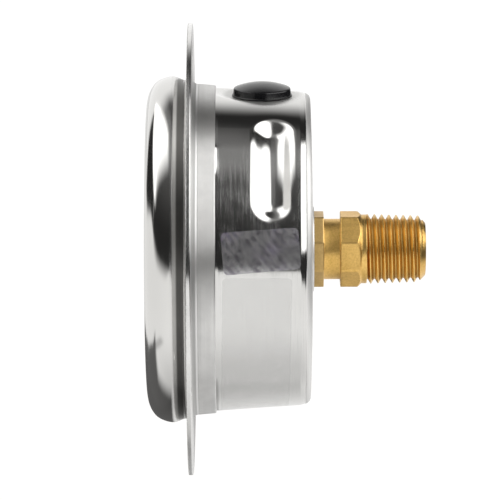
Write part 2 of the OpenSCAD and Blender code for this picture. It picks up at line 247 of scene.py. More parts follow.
class Mat:
    """A short way to write node trees."""

    def __init__(self, name, tree=None):
        if tree is None:
            self.mat = bpy.data.materials.new(name)
            self.mat.use_nodes = True
            tree = self.mat.node_tree
        self.t = tree
        self.t.nodes.clear()

    def n(self, kind, inputs=None, **props):
        node = self.t.nodes.new(kind)
        for k, v in props.items():
            setattr(node, k, v)
        for k, v in (inputs or {}).items():
            s = node.inputs[k]
            if isinstance(v, bpy.types.NodeSocket):
                self.t.links.new(v, s)
            else:
                s.default_value = v
        return node

    def math(self, op, a, b=None, clamp=False):
        i = {0: a}
        if b is not None:
            i[1] = b
        return self.n("ShaderNodeMath", i, operation=op, use_clamp=clamp).outputs[0]

    def ramp01(self, v, lo, hi, a=0.0, b=1.0, kind="SMOOTHSTEP"):
        return self.n("ShaderNodeMapRange", {"Value": v, "From Min": lo, "From Max": hi, "To Min": a, "To Max": b},
                      interpolation_type=kind).outputs[0]

    def object_co(self):
        return self.n("ShaderNodeTexCoord").outputs["Object"]

    def scaled(self, vec, s, move=(0, 0, 0)):
        return self.n("ShaderNodeMapping", {"Vector": vec, "Location": move, "Scale": s}).outputs[0]

    def noise(self, vec, scale, detail=2.0, rough=0.5, distortion=0.0):
        return self.n("ShaderNodeTexNoise", {"Vector": vec, "Scale": scale, "Detail": detail, "Roughness": rough,
                                            "Distortion": distortion}).outputs["Fac"]

    def mix(self, fac, a, b):
        m = self.n("ShaderNodeMix", data_type="RGBA")
        for s, v in ((0, fac), (6, a), (7, b)):
            if isinstance(v, bpy.types.NodeSocket):
                self.t.links.new(v, m.inputs[s])
            else:
                m.inputs[s].default_value = v if s == 0 else (*v, 1.0)
        return m.outputs[2]

    def bump(self, height, strength, distance, normal=None):
        i = {"Height": height, "Strength": strength, "Distance": distance}
        if normal is not None:
            i["Normal"] = normal
        return self.n("ShaderNodeBump", i).outputs[0]

    def out(self, **inputs):
        p = self.n("ShaderNodeBsdfPrincipled", {k.replace("_", " "): v for k, v in inputs.items()})
        o = self.n("ShaderNodeOutputMaterial")
        self.t.links.new(p.outputs[0], o.inputs[0])
        return self.mat

    def attr(self, name):
        return self.n("ShaderNodeAttribute", attribute_name=name).outputs["Fac"]

    def around_axis(self):
        return self.n("ShaderNodeTangent", direction_type="RADIAL", axis="Y").outputs[0]


def case_steel():
    m = Mat("case_steel")
    co = m.object_co()
    bent = m.n("ShaderNodeVectorMath", {0: co, 1: m.n("ShaderNodeVectorMath", {
        0: m.n("ShaderNodeTexNoise", {"Vector": co, "Scale": 140.0, "Detail": 1.0}).outputs["Color"], 3: 0.0003},
        operation="SCALE").outputs[0]}, operation="ADD").outputs[0]
    streak = m.noise(m.scaled(bent, (120, 13000, 120)), 1.0, 2.0, 0.6)
    fine = m.noise(m.scaled(bent, (300, 17000, 300), (3, 1, 2)), 1.0, 2.0, 0.6)
    cloud = m.noise(co, 70.0, 3.0, 0.55)
    patchy = m.noise(co, 320.0, 2.0, 0.5)
    dimple, corner_m = m.attr("pressed"), m.attr("corner")
    s = m.ramp01(streak, 0.50, 0.68)
    grain = m.math("ADD", m.math("MULTIPLY", s, 0.65), m.math("MULTIPLY", fine, 0.35))
    height = m.n("ShaderNodeSeparateXYZ", {0: co}).outputs[2]
    grain = m.math("MULTIPLY", m.math("MULTIPLY", grain, m.ramp01(patchy, 0.30, 0.62, 0.45, 1.0)), m.ramp01(height, 0.0296, 0.0222))
    worn = m.math("MULTIPLY", grain, m.math("SUBTRACT", 1.0, m.math("MULTIPLY", dimple, 0.92)))
    col = m.mix(m.math("MULTIPLY", worn, 0.6, True), (0.68, 0.675, 0.662), (0.58, 0.576, 0.568))
    col = m.mix(m.ramp01(cloud, 0.45, 0.75, 0.0, 0.25), col, (0.60, 0.592, 0.575))
    col = m.mix(corner_m, col, (0.80, 0.797, 0.785))
    seat = m.attr("seat")
    # painted light: round the plug the case is painted lighter, in place of the plug's dark reflection and shade on it;
    # the added roughness there blurs that reflection
    col = m.mix(m.math("MULTIPLY", seat, 0.4), col, (0.80, 0.797, 0.785))
    rough = m.math("ADD", m.math("ADD", m.math("ADD", 0.07, m.math("MULTIPLY", worn, 0.12)), m.math("MULTIPLY", corner_m, 0.46)), m.math("MULTIPLY", dimple, 0.075))
    rough = m.math("ADD", rough, m.math("MULTIPLY", seat, 0.42))
    return m.out(Base_Color=col, Metallic=1.0, Roughness=rough, Anisotropic=0.6, Anisotropic_Rotation=0.25,
                 Tangent=m.around_axis(), Normal=m.bump(worn, 0.07, 0.00004))


def bezel_steel():
    m = Mat("bezel_steel")
    co = m.object_co()
    hair = m.noise(m.scaled(co, (60, 5000, 60)), 1.0, 2.0, 0.5)
    cloud = m.noise(co, 45.0, 3.0, 0.5)
    rolled_dull_and_shade, cutedge = m.attr("rolled_dull_and_shade"), m.attr("cut")
    speck = m.noise(m.scaled(co, (1, 0.6, 1)), 5200.0, 3.0, 0.65)
    col = m.mix(m.ramp01(cloud, 0.4, 0.75, 0.0, 0.5), (0.67, 0.664, 0.65), (0.63, 0.623, 0.608))
    # painted shade: the rolled-in band is painted near black, standing in for the dark reflection of the flange and the
    # room; its added roughness is a duller finish
    col = m.mix(m.math("MULTIPLY", rolled_dull_and_shade, 0.97), col, (0.135, 0.132, 0.127))
    col = m.mix(m.math("MULTIPLY", cutedge, m.ramp01(speck, 0.35, 0.6)), col, (0.80, 0.79, 0.76))
    edge = m.attr("edge")
    rough = m.math("ADD", m.math("ADD", m.math("MULTIPLY", hair, 0.08), m.math("MULTIPLY", edge, 0.10)),
                   m.math("ADD", m.math("ADD", 0.07, m.math("MULTIPLY", rolled_dull_and_shade, 0.08)), m.math("MULTIPLY", cutedge, 0.25)))
    wave = m.bump(m.noise(m.scaled(co, (1, 0.5, 1)), 60.0, 1.0, 0.4), 0.06, 0.0004)
    pit = m.bump(m.math("MULTIPLY", speck, cutedge), 0.6, 0.00010, wave)
    return m.out(Base_Color=col, Metallic=1.0, Roughness=rough, Normal=pit)


def flange_steel():
    m = Mat("flange_steel")
    co = m.object_co()
    streak = m.noise(m.scaled(co, (40, 6500, 40)), 1.0, 3.0, 0.6)
    cloud = m.noise(co, 160.0, 4.0, 0.6)
    speck = m.noise(co, 4200.0, 3.0, 0.65)
    rim = m.attr("rim")
    ycoord = m.n("ShaderNodeSeparateXYZ", {0: co}).outputs[1]
    ragged = m.math("ADD", m.math("MULTIPLY", ycoord, -1000.0), m.math("MULTIPLY", m.noise(co, 1500.0, 2.0, 0.5), 0.16))
    torn = m.math("MULTIPLY", rim, m.ramp01(ragged, 0.84, 0.92))
    sheared = m.math("SUBTRACT", rim, torn)
    col = m.mix(m.ramp01(cloud, 0.35, 0.7), (0.735, 0.73, 0.72), (0.655, 0.651, 0.642))
    col = m.mix(m.math("MULTIPLY", torn, m.ramp01(speck, 0.4, 0.62)), col, (0.40, 0.39, 0.37))
    # painted shade: the fillet between plate and collar is painted darker, as shade in the corner; it is also made
    # rougher
    col = m.mix(m.math("MULTIPLY", m.attr("fillet_shade"), 0.85), col, (0.53, 0.527, 0.52))
    # painted highlight: a light line painted along the step at the end of the fillet
    col = m.mix(m.attr("step_highlight"), col, (0.86, 0.857, 0.85))
    satin = m.ramp01(streak, 0.3, 0.7, 0.41, 0.52)
    rough = m.math("ADD", m.math("SUBTRACT", satin, m.math("MULTIPLY", sheared, 0.27)), m.math("MULTIPLY", m.attr("fillet_shade"), 0.12))
    b = m.bump(streak, 0.10, 0.00003)
    b = m.bump(m.math("MULTIPLY", speck, torn), 0.8, 0.00010, b)
    return m.out(Base_Color=col, Metallic=1.0, Roughness=rough, Anisotropic=0.85, Anisotropic_Rotation=0.25,
                 Tangent=m.around_axis(), Normal=b)


def plug_rubber():
    m = Mat("plug_rubber")
    co = m.object_co()
    grain = m.noise(co, 3800.0, 3.0, 0.6)
    dust = m.noise(co, 900.0, 4.0, 0.7)
    col = m.mix(m.ramp01(dust, 0.55, 0.85), (0.006, 0.006, 0.007), (0.014, 0.014, 0.014))
    rough = m.ramp01(grain, 0.3, 0.7, 0.16, 0.26)
    return m.out(Base_Color=col, Roughness=rough, Specular_IOR_Level=0.46, Normal=m.bump(grain, 0.06, 0.00004))


def brass(name, light, dark, rough0, rough1, metal=0.8):
    m = Mat(name)
    co = m.object_co()
    turned = m.attr("turned")
    rings = m.noise(m.scaled(co, (30, 7000, 30)), 1.0, 3.0, 0.6)
    drawn = m.noise(m.scaled(co, (3600, 260, 3600)), 1.0, 3.0, 0.6)
    grain = m.n("ShaderNodeMix", {0: turned, 2: drawn, 3: rings}).outputs[0]
    spot = m.noise(co, 2300.0, 4.0, 0.7)
    cloud = m.noise(co, 190.0, 3.0, 0.6)
    f = m.math("ADD", m.math("MULTIPLY", m.ramp01(spot, 0.38, 0.68), 0.55), m.math("MULTIPLY", m.ramp01(cloud, 0.35, 0.7), 0.45))
    root, thread = m.attr("root"), m.attr("thread")
    col = m.mix(m.math("MULTIPLY", thread, 0.6), m.mix(f, light, dark), (0.88, 0.60, 0.215))
    # painted shade: the thread's roots are painted darker, as shade in the grooves; they are also rougher
    col = m.mix(m.math("MULTIPLY", root, 0.5), col, (0.42, 0.25, 0.065))
    # painted shade: the first octagon and the block next to the case are painted darker and duller, as shade near the
    # case
    col = m.mix(m.math("MULTIPLY", m.attr("near_case_shade"), 0.5), col, (0.36, 0.27, 0.145))
    rough = m.math("ADD", m.ramp01(grain, 0.3, 0.7, rough0, rough1), m.math("MULTIPLY", spot, 0.10))
    rough = m.math("SUBTRACT", rough, m.math("MULTIPLY", turned, 0.05))
    rough = m.math("ADD", rough, m.math("ADD", m.math("MULTIPLY", root, 0.12), m.math("MULTIPLY", m.attr("neck"), 0.04)))
    calm = m.math("SUBTRACT", 1.0, m.math("MULTIPLY", turned, 0.72))
    b = m.bump(m.math("MULTIPLY", grain, calm), 0.16, 0.00003)
    b = m.bump(m.math("MULTIPLY", spot, calm), 0.10, 0.00004, b)
    return m.out(Base_Color=col, Metallic=metal, Roughness=rough, Normal=b)


def film():
    m = Mat("film")
    co = m.object_co()
    wrinkle = m.noise(co, 420.0, 3.0, 0.55)
    dust = m.noise(co, 2600.0, 3.0, 0.6)
    col = m.mix(m.ramp01(dust, 0.4, 0.75), (0.86, 0.86, 0.86), (0.78, 0.78, 0.775))
    rough = m.ramp01(wrinkle, 0.3, 0.7, 0.12, 0.26)
    return m.out(Base_Color=col, Roughness=rough, Alpha=0.06, Normal=m.bump(wrinkle, 0.10, 0.0001))


def foil():
    m = Mat("foil")
    co = m.object_co()
    cloud = m.noise(co, 150.0, 2.0, 0.5)
    grain = m.noise(co, 2600.0, 2.0, 0.5)
    hatch = m.n("ShaderNodeTexWave", {"Vector": m.scaled(co, (1, 1, 1)), "Scale": 420.0, "Distortion": 3.0, "Detail": 1.0},
                wave_type="BANDS", bands_direction="DIAGONAL").outputs["Fac"]
    col = m.mix(m.ramp01(cloud, 0.40, 0.62), (0.56, 0.555, 0.57), (0.47, 0.42, 0.55))
    mottle = m.noise(co, 620.0, 3.0, 0.6)
    col = m.mix(m.ramp01(mottle, 0.40, 0.66), col, (0.30, 0.285, 0.32))
    col = m.mix(m.math("MULTIPLY", hatch, 0.35), col, (0.74, 0.735, 0.73))
    rough = m.math("ADD", m.ramp01(cloud, 0.3, 0.7, 0.15, 0.22), m.math("MULTIPLY", grain, 0.05))
    return m.out(Base_Color=col, Metallic=0.8, Roughness=rough, Normal=m.bump(hatch, 0.03, 0.00003))


def glass():
    m = Mat("window")
    co = m.object_co()
    haze = m.noise(co, 90.0, 3.0, 0.6)
    rough = m.ramp01(haze, 0.4, 0.8, 0.0, 0.03)
    col = m.mix(m.ramp01(haze, 0.3, 0.8), (1.0, 1.0, 1.0), (0.985, 0.992, 0.99))
    return m.out(Base_Color=col, Roughness=rough, Transmission_Weight=1.0, IOR=1.49)


def paint(name, a, b, rough0, rough1, grain_scale=2500.0, bump=0.05):
    m = Mat(name)
    co = m.object_co()
    g = m.noise(co, grain_scale, 3.0, 0.6)
    c = m.noise(co, 120.0, 3.0, 0.5)
    return m.out(Base_Color=m.mix(m.ramp01(c, 0.35, 0.7), a, b), Roughness=m.ramp01(g, 0.3, 0.7, rough0, rough1),
                 Normal=m.bump(g, bump, 0.00003))


def metal(name, a, b, rough0, rough1, lines=(1200, 1200, 1200)):
    m = Mat(name)
    co = m.object_co()
    g = m.noise(m.scaled(co, lines), 1.0, 3.0, 0.6)
    c = m.noise(co, 260.0, 3.0, 0.6)
    return m.out(Base_Color=m.mix(m.ramp01(c, 0.35, 0.7), a, b), Metallic=1.0, Roughness=m.ramp01(g, 0.3, 0.7, rough0, rough1),
                 Normal=m.bump(g, 0.08, 0.00003))


M = {
    "case_steel": case_steel(),
    "bezel_steel": bezel_steel(),
    "flange_steel": flange_steel(),
    "plug_rubber": plug_rubber(),
    "socket_brass": brass("socket_brass", (0.84, 0.545, 0.178), (0.60, 0.367, 0.096), 0.26, 0.38, 1.0),
    "film": film(),
    "foil": foil(),
    "window": glass(),
    "gasket_rubber": paint("gasket_rubber", (0.012, 0.012, 0.012), (0.022, 0.022, 0.021), 0.5, 0.7),
    "movement_brass": metal("movement_brass", (0.80, 0.61, 0.28), (0.68, 0.49, 0.20), 0.22, 0.38, (240, 2400, 240)),
    "tube_bronze": metal("tube_bronze", (0.72, 0.47, 0.26), (0.60, 0.37, 0.19), 0.25, 0.40),
    "pin_steel": metal("pin_steel", (0.66, 0.655, 0.645), (0.56, 0.555, 0.55), 0.18, 0.32, (300, 3600, 300)),
    "dial_white": paint("dial_white", (0.91, 0.91, 0.895), (0.87, 0.87, 0.855), 0.42, 0.55, 1800.0, 0.04),
    "dial_ink": paint("dial_ink", (0.012, 0.012, 0.013), (0.022, 0.022, 0.023), 0.45, 0.6),
    "pointer_black": paint("pointer_black", (0.012, 0.012, 0.013), (0.020, 0.020, 0.021), 0.35, 0.5),
}


def dress(ob, slot, body="housing", node=None, material=None):
    ob.data.materials.clear()
    ob.data.materials.append(M[material or slot])
    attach(ob, body)
    if node:
        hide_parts(node)
    return ob


# ---------------------------------------------------------------------------
# case: a drawn cup with two pressed dimples and a flat for the filling plug

CASE_R, CASE_BACK_R, Z_CONE, Z_BACK, WALL = 31.6, 30.5, -5.0, -23.25, 0.8
SEAT, FILL_Z = 30.45, -13.5
DIMPLE_A, DIMPLE_Z, DIMPLE_SPAN, DIMPLE_D = 44.2, -15.55, 28.4, 1.75
REAR_Z, CORNER_Z = -20.80, -21.62


def case_at(z):
    z = np.asarray(z, float)
    return np.where(z > Z_CONE, CASE_R, CASE_R - (CASE_R - CASE_BACK_R) * (Z_CONE - z) / 17.05)


def pressed(ang, z):
    """Depth of the dimples at an angle (degrees) and level."""
    total = np.zeros(np.broadcast(ang, z).shape)
    mask = np.zeros_like(total)
    for a0 in (DIMPLE_A, 180 - DIMPLE_A):
        d = (ang - a0 + 180) % 360 - 180
        s = np.abs(np.radians(d)) * 30.9 - math.radians(DIMPLE_SPAN / 2) * 30.9
        q = np.hypot(np.maximum(s, 0), z - DIMPLE_Z)
        wall = DIMPLE_D - (q - 1.3) * 0.70
        wall = soft_min(wall, np.full_like(wall, DIMPLE_D), 0.70)
        wall = -soft_min(-wall, np.zeros_like(wall), 0.48)
        rim = 0.03 * np.exp(-(np.maximum(q - 3.85, 0) / 1.7) ** 2) * smooth01((q - 2.0) / 2.0)
        total = total + wall + rim
        mask = np.maximum(mask, smooth01((4.1 - q) / 0.4))
    return total, mask


def build_case():
    ang = np.concatenate([np.arange(18, 162, 0.5), np.arange(162, 378, 1.5)])
    prof = []  # (r, z, side): side 1 outside, -1 inside, 0 neither
    lip = corner([(30.8, 3.2, 0.1), (32.95, 3.2, 0.2), (32.95, 2.4, 0.2), (31.6, 2.4, 0.25), (31.6, -1.0)], False)
    prof += [(r, z, 0) for r, z in lip]
    zs = np.concatenate([np.arange(-2.0, -4.5, -0.8), np.arange(-4.5, -6.0, -0.1), np.arange(-6.2, -9.9, -0.5),
                         np.arange(-10.4, REAR_Z + 0.05, -0.17), [REAR_Z]])
    prof += [(float(case_at(z)), float(z), 1) for z in zs]
    # a slightly steeper band, a fine crease, the corner and a back that bulges a little
    r_e = float(case_at(REAR_Z))
    steps = np.linspace(0, 1, 9)[1:]
    for u in steps:
        z = REAR_Z + (CORNER_Z - REAR_Z) * u
        drop = (REAR_Z - z) * math.tan(math.radians(9.0 + 4.0 * u))
        prof.append((r_e - drop + 0.03 * (1 - u) ** 3 - 0.03, z, 1))
    r_c = prof[-1][0]
    prof += [(r_c - 0.05, CORNER_Z - 0.10, 0), (r_c - 0.065, CORNER_Z - 0.20, 0), (r_c - 0.05, CORNER_Z - 0.30, 0)]
    rad, z_c, r_k = 1.34, CORNER_Z - 0.30, r_c - 0.05
    for t in np.linspace(16, 88, 15)[1:]:
        u, u0 = math.radians(t), math.radians(16)
        prof.append((r_k - rad * (math.cos(u0) - math.cos(u)), z_c - rad * (math.sin(u) - math.sin(u0)), 0))
    r_b, z_b = prof[-1][0], prof[-1][1]
    for u in (0.15, 0.35, 0.6, 0.8):
        r = r_b + (9.2 - r_b) * u
        prof.append((r, z_b + (Z_BACK - z_b) * (1 - (1 - u) ** 2), 0))
    tail = corner([(9.2, Z_BACK), (8.35, Z_BACK, 0.15), (8.27, -23.6, 0.12), (7.72, -23.6, 0.12),
                   (7.72, -22.45, 0.1), (16.0, -22.45), (28.8, -22.45, 0.6), (29.65, -21.4, 0.5), (29.78, -20.0)], False)
    prof += [(r, z, 0) for r, z in tail]
    zi = np.arange(-19.6, -5.0, 0.4)
    prof += [(float(case_at(z)) - WALL, float(z), -1) for z in zi]
    prof += [(30.8, -2.0, 0), (30.8, 2.0, 0)]
    rr = np.array([p[0] for p in prof])[:, None] * np.ones_like(ang)[None, :]
    zz = np.array([p[1] for p in prof])[:, None] * np.ones_like(ang)[None, :]
    side = np.array([p[2] for p in prof])
    depth, _ = pressed(ang[None, :], zz)
    rr = rr - depth * (side != 0)[:, None]
    # drawn a little fuller along the top
    full = smooth01((np.sin(np.radians(ang))[None, :] - 0.25) / 0.65) * np.clip((-5 - zz) / 17, 0, 1)
    rr = rr + 0.28 * full * (rr > 20)
    # the wall flares a touch where the neck was pressed on
    near = np.exp(-np.maximum(-4.45 - zz, 0) / 0.38) * (side == 1)[:, None]
    rr = rr + 0.16 * near * smooth01((ang[None, :] - 36) / 8) * smooth01((53 - ang[None, :]) / 3)
    a = np.radians(ang)[None, :]
    x, y = rr * np.cos(a), rr * np.sin(a)
    rho = np.hypot(x, zz - FILL_Z)
    seat = SEAT + 0.17 + np.maximum(rho - 6.2, 0) * 0.22
    top = np.where((y > 0) & (side == 1)[:, None], soft_min(y, seat, 0.30), y)
    top = np.where((y > 0) & (side == -1)[:, None], np.minimum(y, seat - WALL), top)
    pts = np.stack([x, top, zz], -1)
    rows, cols = pts.shape[:2]
    ob = finish_mesh("case_shell", row(pts.reshape(-1, 3)), grid_faces(rows, cols, True))
    hole = revolve("cut_fill", [(0, 24), (4.0, 24), (4.0, 36), (0, 36)], 72,
                   frame_at=lambda q: np.stack([q[:, 0], q[:, 2], q[:, 1] + FILL_Z], -1))
    cut(ob, [hole])
    c = coords(ob)
    _, mask = pressed(np.degrees(np.arctan2(c[:, 1], c[:, 0])), c[:, 2])
    point_mask(ob, "pressed", mask)
    rho = np.hypot(c[:, 0], c[:, 2] - FILL_Z)
    # where the case is painted lighter round the plug (painted light) and made rougher
    point_mask(ob, "seat", smooth01((9.3 - rho) / 2.8) * (c[:, 1] > 25))
    point_mask(ob, "corner", smooth01((CORNER_Z - 0.16 - c[:, 2]) / 0.16))
    return ob


dress(build_case(), "case_steel", node="case")

# ---------------------------------------------------------------------------
# bezel: a spun ring, its edge rolled in behind the case's lip

BEZEL_R, BEZEL_FRONT, ROUND_R, ROUND_Z, BEZEL_T = 33.87, 9.0, 6.37, 4.4, 0.8


def round_pt(t, d):
    t = math.radians(t)
    nx, nz = math.cos(t) / ROUND_R, math.sin(t) / ROUND_Z
    k = math.hypot(nx, nz)
    return (BEZEL_R - ROUND_R + ROUND_R * math.cos(t) - d * nx / k,
            BEZEL_FRONT - ROUND_Z + ROUND_Z * math.sin(t) - d * nz / k)


# how far the bezel's surface leans forward at each level (degrees)
LEAN_Z = [3.0, 3.2, 3.42, 3.62, 3.85, 4.1, 4.6, 5.2, 5.8, 6.4, 7.0, 7.5, 8.1, 8.6, 8.9, 9.0]
LEAN_T = [-24.0, -19.0, -13.0, -8.0, -2.0, 4.0, 10.0, 16.0, 21.0, 27.0, 38.0, 50.0, 60.0, 72.0, 82.0, 88.0]


def bezel_front():
    z = np.arange(3.0, 9.0001, 0.01)
    t = np.interp(z, LEAN_Z, LEAN_T)
    r = -np.concatenate([[0], np.cumsum(np.tan(np.radians((t[1:] + t[:-1]) / 2)) * 0.01)])
    r = r - r.max() + BEZEL_R
    pick = np.interp(np.arange(-24.0, 88.0, 1.5), t, np.arange(len(z)))
    keep = sorted(set(int(round(k)) for k in pick))
    return [(float(r[k]), float(z[k])) for k in keep]


def build_bezel():
    outer = bezel_front()
    outer += [(outer[-1][0] - 0.35, 9.0), (outer[-1][0] - 0.8, 8.985), (26.75, 8.95)]
    inner = [round_pt(t, BEZEL_T) for t in np.arange(98, 1, -4)]
    front = outer[-1], inner[0]
    lipmid = ((front[0][0] + front[1][0]) / 2 - 0.12, (front[0][1] + front[1][1]) / 2)
    roll = corner([(outer[0][0] - 0.035, 2.92), (33.605, 2.82), (33.545, 2.68), (33.22, 1.90), (33.18, 1.80, 0.10), (33.145, 1.46), (33.13, 1.34), (33.10, 1.12, 0.05), (32.4, 1.12, 0.06),
                   (32.3, 2.35, 0.1), (33.02, 2.35, 0.1), (BEZEL_R - BEZEL_T, 3.3, 0.1), (BEZEL_R - BEZEL_T, 4.5)], False, 6)
    prof = outer + [lipmid] + inner + roll[::-1]
    ob = revolve("bezel_ring", prof, 320)
    c = coords(ob)
    r = np.hypot(c[:, 0], c[:, 1])
    point_mask(ob, "edge", smooth01((4.12 - c[:, 2]) / 0.12) * smooth01((c[:, 2] - 2.8) / 0.2) * (r > 33.3))
    point_mask(ob, "cut", smooth01((1.45 - c[:, 2]) / 0.1) * (r > 32.5))
    # the rolled-in band: a duller finish, and painted near black as shade
    point_mask(ob, "rolled_dull_and_shade", smooth01((3.06 - c[:, 2]) / 0.36) * smooth01((c[:, 2] - 1.34) / 0.10) * (r > 33.05))
    return ob


dress(build_bezel(), "bezel_steel", node="bezel")

# ---------------------------------------------------------------------------
# window and flange


def build_window():
    prof = corner([(0, 5.2), (32.0, 5.2, 0.15), (32.0, 6.2, 0.15), (28.4, 8.15, 0.8), (0, 8.15)], False, 6)
    return revolve("window_pane", prof, 192)


dress(build_window(), "window", node="window")


def build_flange():
    t = 0.9
    arc = [(33.38 - 0.98 * math.sin(u), -0.98 + 0.98 * math.cos(u)) for u in np.radians(np.linspace(0, 88, 12))]
    head = corner([(31.63, t, 0.05), (40.0, t), (44.2, t, 0.05), (44.2, 0.80), (44.2, 0.34), (44.2, 0.0, 0.30), (40.0, 0.0), (36.0, 0.0)], False, 5)
    tail = corner([(32.37, -1.02), (32.36, -1.16, 0.02), (32.39, -1.22, 0.02), (32.1, -4.5, 0.30), (31.63, -4.5, 0.03), (31.63, -2.0)], False, 6)
    ob = revolve("flange_ring", head + arc + tail, 320)
    cut(ob, [rod("cut_%d" % a, (39 * math.cos(math.radians(a)), 39 * math.sin(math.radians(a))), 1.9, -1, 2)
             for a in (90, 210, 330)])
    c = coords(ob)
    r = np.hypot(c[:, 0], c[:, 1])
    point_mask(ob, "rim", smooth01((r - 44.0) / 0.15))
    # the fillet between plate and collar, painted darker as shade
    point_mask(ob, "fillet_shade", smooth01((c[:, 2] + 0.80) / 0.1) * smooth01((34.4 - r) / 0.4) * (r > 32.3))
    # a thin band on the step behind the fillet, painted light as a highlight
    point_mask(ob, "step_highlight", smooth01((c[:, 2] + 1.06) / 0.08) * smooth01((-0.68 - c[:, 2]) / 0.12) * (r > 32.3))
    return ob


dress(build_flange(), "flange_steel", node="mounting_flange")

# ---------------------------------------------------------------------------
# filling plug


def build_plug():
    dome = [(5.22 * math.sin(u), SEAT + 2.78 - 1.00 * math.sin(u) ** 2) for u in np.radians(np.linspace(0, 90, 14))]
    side = corner([(5.34, SEAT + 1.72), (5.46, SEAT + 1.64, 0.05), (5.52, SEAT + 1.46, 0.06), (5.66, SEAT + 0.48, 0.15), (5.84, SEAT + 0.38, 0.08),
                   (5.86, SEAT + 0.27, 0.05), (5.74, SEAT + 0.20, 0.05), (3.93, SEAT + 0.20, 0.03), (3.93, SEAT - 4.0, 0.25),
                   (3.4, SEAT - 4.6, 0.3), (0, SEAT - 4.6)], False, 5)
    return revolve("plug", dome + side, 160, frame_at=lambda q: np.stack([q[:, 0], q[:, 2], FILL_Z - q[:, 1]], -1))


dress(build_plug(), "plug_rubber", body="fill_plug", node="fill_plug")

# ---------------------------------------------------------------------------
# film and foil: thin blank patches on the case's side


def build_patch(name, a0, a1, z0, z1, rc, tilt, thick, gap):
    """A patch from angle a0 to a1 (degrees) and from level z0 back to z1, with round corners, turned a little on the case."""
    am, zm = (a0 + a1) / 2, (z0 + z1) / 2
    ref = float(case_at(zm))
    half_s, half_z = math.radians(a1 - a0) / 2 * ref, abs(z1 - z0) / 2
    end = half_s - rc + rc * np.sin(np.radians(np.linspace(0, 90, 9)))
    s = np.concatenate([-end[::-1], np.linspace(-half_s + rc, half_s - rc, 66)[1:-1], end])
    w = half_z - rc + np.sqrt(np.maximum(rc ** 2 - np.maximum(np.abs(s) - (half_s - rc), 0) ** 2, 0))
    v = np.linspace(-1, 1, 40)
    ss = np.repeat(s[:, None], len(v), 1)
    zz = w[:, None] * v[None, :]
    ct, st = math.cos(math.radians(tilt)), math.sin(math.radians(tilt))
    s2, z2 = ss * ct - zz * st, ss * st + zz * ct
    ang, z = math.radians(am) + s2 / ref, zm + z2
    sheets = []
    for lift in (gap, gap + thick):
        r = case_at(z) + lift
        sheets.append(np.stack([r * np.cos(ang), r * np.sin(ang), z], -1))
    n, k = ss.shape
    verts = np.concatenate([q.reshape(-1, 3) for q in sheets])
    faces, top = [], n * k
    for i in range(n - 1):
        for j in range(k - 1):
            q = (i * k + j, i * k + j + 1, (i + 1) * k + j + 1, (i + 1) * k + j)
            faces.append(q[::-1])
            faces.append(tuple(x + top for x in q))
    ring = [(i, 0) for i in range(n)] + [(n - 1, j) for j in range(1, k)] + [(i, k - 1) for i in range(n - 2, -1, -1)] + [(0, j) for j in range(k - 2, 0, -1)]
    ids = [i * k + j for i, j in ring]
    for p, q in zip(ids, ids[1:] + ids[:1]):
        faces.append((p, q, q + top, p + top))
    return finish_mesh(name, row(verts), faces)


dress(build_patch("film_patch", -69, 2.8, -5.6, -18.8, 0.9, -0.8, 0.06, 0.008), "film", node="label_film")
dress(build_patch("foil_sticker", 4.9, 19.6, -5.8, -20.5, 1.0, 4.4, 0.06, 0.02), "foil", node="foil_patch")

# ---------------------------------------------------------------------------
# socket: octagon bar, turned neck, shoulder and taper thread; the block inside the case

OCT, GROOVE, SHOULDER = 7.0, 5.925, 6.75
PITCH, T_BIG, T_DEEP, T_Z1 = 1.4111, 6.86, 0.95, -33.9


